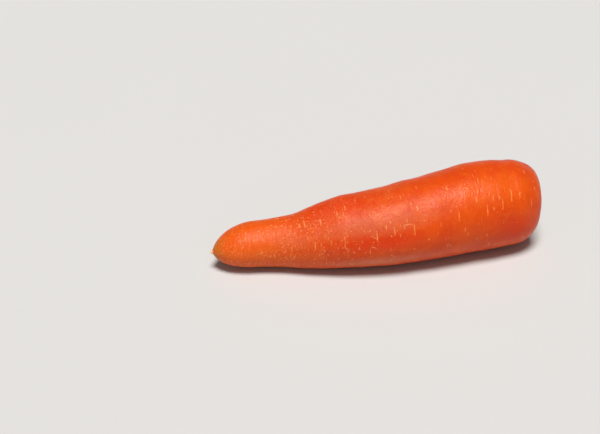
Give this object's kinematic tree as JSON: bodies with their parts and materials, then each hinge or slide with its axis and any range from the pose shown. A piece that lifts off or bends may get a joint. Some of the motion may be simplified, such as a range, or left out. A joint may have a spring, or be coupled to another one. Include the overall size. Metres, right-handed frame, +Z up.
{
  "type": "carrot",
  "caption": "Whole topped carrot lying on its side: a bowed, tapering orange root with a rounded shoulder, a hollow crown with cut leaf-stalk stubs, and a blunt nose.",
  "frame": {"origin": "on the surface the carrot lies on, at the middle of its outline seen from above", "axes": "+Z up, +X along the root towards the crown where the leaf stalks were cut, +Y to the crown's left"},
  "size_m": [0.2177, 0.0625, 0.0583],
  "materials": {
    "carrot_skin": "washed, smooth and slightly waxy orange skin with pale transverse root scars",
    "stalk_stub": "dull fibrous green and tan stalk, dried where it was cut"
  },
  "bodies": {
    "root": {"carrot_root": "carrot_skin", "leaf_stalk_stubs": "stalk_stub"}
  },
  "joints": []
}
